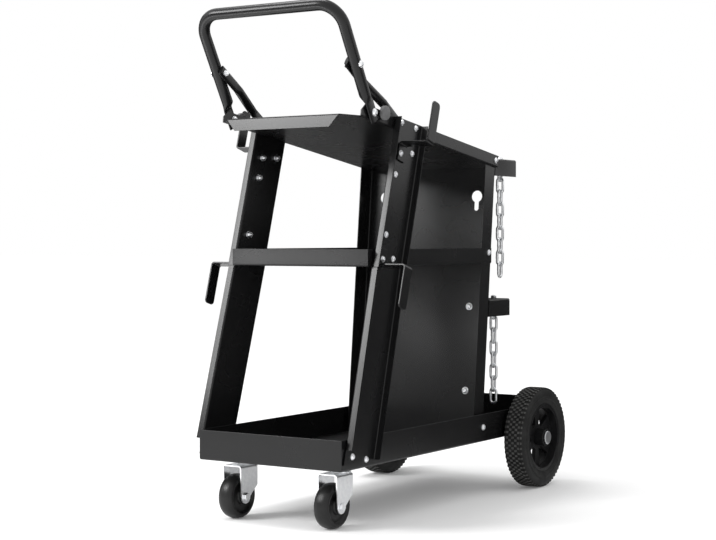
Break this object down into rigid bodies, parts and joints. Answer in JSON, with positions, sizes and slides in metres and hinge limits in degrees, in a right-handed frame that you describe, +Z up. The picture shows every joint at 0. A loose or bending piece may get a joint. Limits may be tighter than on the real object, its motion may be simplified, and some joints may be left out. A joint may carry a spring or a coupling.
{
  "type": "welding cart",
  "caption": "Three-tier black steel welding cart with push handle, swivel front casters, large rear wheels, cable hooks and chained gas-bottle brackets.",
  "frame": {"origin": "on the floor, under the middle of the bounding box", "axes": "+X to the right of a person pushing, +Y from the handle end to the gas-bottle end, +Z up"},
  "size_m": [0.4114, 0.768, 0.8847],
  "materials": {
    "powder_coat": "semi-gloss black powder coat",
    "zinc": "bright zinc plate",
    "tyre": "matte black rubber",
    "caster_rubber": "satin black rubber",
    "hub_plastic": "satin black moulded plastic"
  },
  "bodies": {
    "frame": {"bottom_tray": "powder_coat", "rear_panel": "powder_coat", "middle_shelf": "powder_coat", "top_tray": "powder_coat", "left_lower_post": "powder_coat", "left_upper_post": "powder_coat", "left_upper_hook": "powder_coat", "left_lower_hook": "powder_coat", "left_handle_brace": "powder_coat", "left_axle_lug": "powder_coat", "left_caster_plate": "zinc", "right_lower_post": "powder_coat", "right_upper_post": "powder_coat", "right_upper_hook": "powder_coat", "right_lower_hook": "powder_coat", "right_handle_brace": "powder_coat", "right_axle_lug": "powder_coat", "right_caster_plate": "zinc", "handle_tube": "powder_coat", "upper_tank_bracket": "powder_coat", "lower_tank_bracket": "powder_coat", "upper_chain_eye": "zinc", "lower_chain_eye": "zinc", "rear_axle": "zinc"},
    "left_caster": {"left_caster_fork": "zinc", "left_caster_bolt": "zinc"},
    "left_caster_wheel": {"left_caster_wheel": "caster_rubber"},
    "left_rear_wheel": {"left_rear_hub": "hub_plastic", "left_rear_tyre": "tyre"},
    "right_caster": {"right_caster_fork": "zinc", "right_caster_bolt": "zinc"},
    "right_caster_wheel": {"right_caster_wheel": "caster_rubber"},
    "right_rear_wheel": {"right_rear_hub": "hub_plastic", "right_rear_tyre": "tyre"},
    "upper_link_1": {"upper_chain_link_1": "zinc"},
    "upper_link_2": {"upper_chain_link_2": "zinc"},
    "upper_link_3": {"upper_chain_link_3": "zinc"},
    "upper_link_4": {"upper_chain_link_4": "zinc"},
    "upper_link_5": {"upper_chain_link_5": "zinc"},
    "upper_link_6": {"upper_chain_link_6": "zinc"},
    "upper_link_7": {"upper_chain_link_7": "zinc"},
    "upper_link_8": {"upper_chain_link_8": "zinc"},
    "upper_link_9": {"upper_chain_link_9": "zinc"},
    "lower_link_1": {"lower_chain_link_1": "zinc"},
    "lower_link_2": {"lower_chain_link_2": "zinc"},
    "lower_link_3": {"lower_chain_link_3": "zinc"},
    "lower_link_4": {"lower_chain_link_4": "zinc"},
    "lower_link_5": {"lower_chain_link_5": "zinc"},
    "lower_link_6": {"lower_chain_link_6": "zinc"},
    "lower_link_7": {"lower_chain_link_7": "zinc"},
    "lower_link_8": {"lower_chain_link_8": "zinc"}
  },
  "joints": [
    {"name": "left_caster_swivel", "type": "hinge", "parent": "frame", "child": "left_caster", "pos_m": [-0.1, -0.30005, 0.09], "axis": [0, 0, 1], "continuous": true},
    {"name": "left_caster_spin", "type": "hinge", "parent": "left_caster", "child": "left_caster_wheel", "pos_m": [-0.1, -0.32505, 0.039], "axis": [1, 0, 0], "continuous": true},
    {"name": "left_rear_wheel_spin", "type": "hinge", "parent": "frame", "child": "left_rear_wheel", "pos_m": [-0.175, 0.28595, 0.098], "axis": [1, 0, 0], "continuous": true},
    {"name": "right_caster_swivel", "type": "hinge", "parent": "frame", "child": "right_caster", "pos_m": [0.1, -0.30005, 0.09], "axis": [0, 0, 1], "continuous": true},
    {"name": "right_caster_spin", "type": "hinge", "parent": "right_caster", "child": "right_caster_wheel", "pos_m": [0.1, -0.32505, 0.039], "axis": [1, 0, 0], "continuous": true},
    {"name": "right_rear_wheel_spin", "type": "hinge", "parent": "frame", "child": "right_rear_wheel", "pos_m": [0.175, 0.28595, 0.098], "axis": [1, 0, 0], "continuous": true},
    {"name": "upper_link_1_swing", "type": "hinge", "parent": "frame", "child": "upper_link_1", "pos_m": [0.112, 0.25472, 0.6266], "axis": [1, 0, 0], "range_deg": [-3, 14]},
    {"name": "upper_link_2_swing", "type": "hinge", "parent": "upper_link_1", "child": "upper_link_2", "pos_m": [0.112, 0.25472, 0.6082], "axis": [1, 0, 0], "range_deg": [-3, 14]},
    {"name": "upper_link_3_swing", "type": "hinge", "parent": "upper_link_2", "child": "upper_link_3", "pos_m": [0.112, 0.25472, 0.5792], "axis": [1, 0, 0], "range_deg": [-3, 14]},
    {"name": "upper_link_4_swing", "type": "hinge", "parent": "upper_link_3", "child": "upper_link_4", "pos_m": [0.112, 0.25472, 0.5608], "axis": [1, 0, 0], "range_deg": [-3, 14]},
    {"name": "upper_link_5_swing", "type": "hinge", "parent": "upper_link_4", "child": "upper_link_5", "pos_m": [0.112, 0.25472, 0.5318], "axis": [1, 0, 0], "range_deg": [-3, 14]},
    {"name": "upper_link_6_swing", "type": "hinge", "parent": "upper_link_5", "child": "upper_link_6", "pos_m": [0.112, 0.25472, 0.5134], "axis": [1, 0, 0], "range_deg": [-3, 14]},
    {"name": "upper_link_7_swing", "type": "hinge", "parent": "upper_link_6", "child": "upper_link_7", "pos_m": [0.112, 0.25472, 0.4844], "axis": [1, 0, 0], "range_deg": [-3, 14]},
    {"name": "upper_link_8_swing", "type": "hinge", "parent": "upper_link_7", "child": "upper_link_8", "pos_m": [0.112, 0.25472, 0.466], "axis": [1, 0, 0], "range_deg": [-3, 14]},
    {"name": "upper_link_9_swing", "type": "hinge", "parent": "upper_link_8", "child": "upper_link_9", "pos_m": [0.112, 0.25472, 0.437], "axis": [1, 0, 0], "range_deg": [-3, 14]},
    {"name": "lower_link_1_swing", "type": "hinge", "parent": "frame", "child": "lower_link_1", "pos_m": [0.112, 0.22862, 0.3556], "axis": [1, 0, 0], "range_deg": [-3, 14]},
    {"name": "lower_link_2_swing", "type": "hinge", "parent": "lower_link_1", "child": "lower_link_2", "pos_m": [0.112, 0.22862, 0.3372], "axis": [1, 0, 0], "range_deg": [-3, 14]},
    {"name": "lower_link_3_swing", "type": "hinge", "parent": "lower_link_2", "child": "lower_link_3", "pos_m": [0.112, 0.22862, 0.3082], "axis": [1, 0, 0], "range_deg": [-3, 14]},
    {"name": "lower_link_4_swing", "type": "hinge", "parent": "lower_link_3", "child": "lower_link_4", "pos_m": [0.112, 0.22862, 0.2898], "axis": [1, 0, 0], "range_deg": [-3, 14]},
    {"name": "lower_link_5_swing", "type": "hinge", "parent": "lower_link_4", "child": "lower_link_5", "pos_m": [0.112, 0.22862, 0.2608], "axis": [1, 0, 0], "range_deg": [-3, 14]},
    {"name": "lower_link_6_swing", "type": "hinge", "parent": "lower_link_5", "child": "lower_link_6", "pos_m": [0.112, 0.22862, 0.2424], "axis": [1, 0, 0], "range_deg": [-3, 14]},
    {"name": "lower_link_7_swing", "type": "hinge", "parent": "lower_link_6", "child": "lower_link_7", "pos_m": [0.112, 0.22862, 0.2134], "axis": [1, 0, 0], "range_deg": [-3, 14]},
    {"name": "lower_link_8_swing", "type": "hinge", "parent": "lower_link_7", "child": "lower_link_8", "pos_m": [0.112, 0.22862, 0.195], "axis": [1, 0, 0], "range_deg": [-3, 14]}
  ]
}
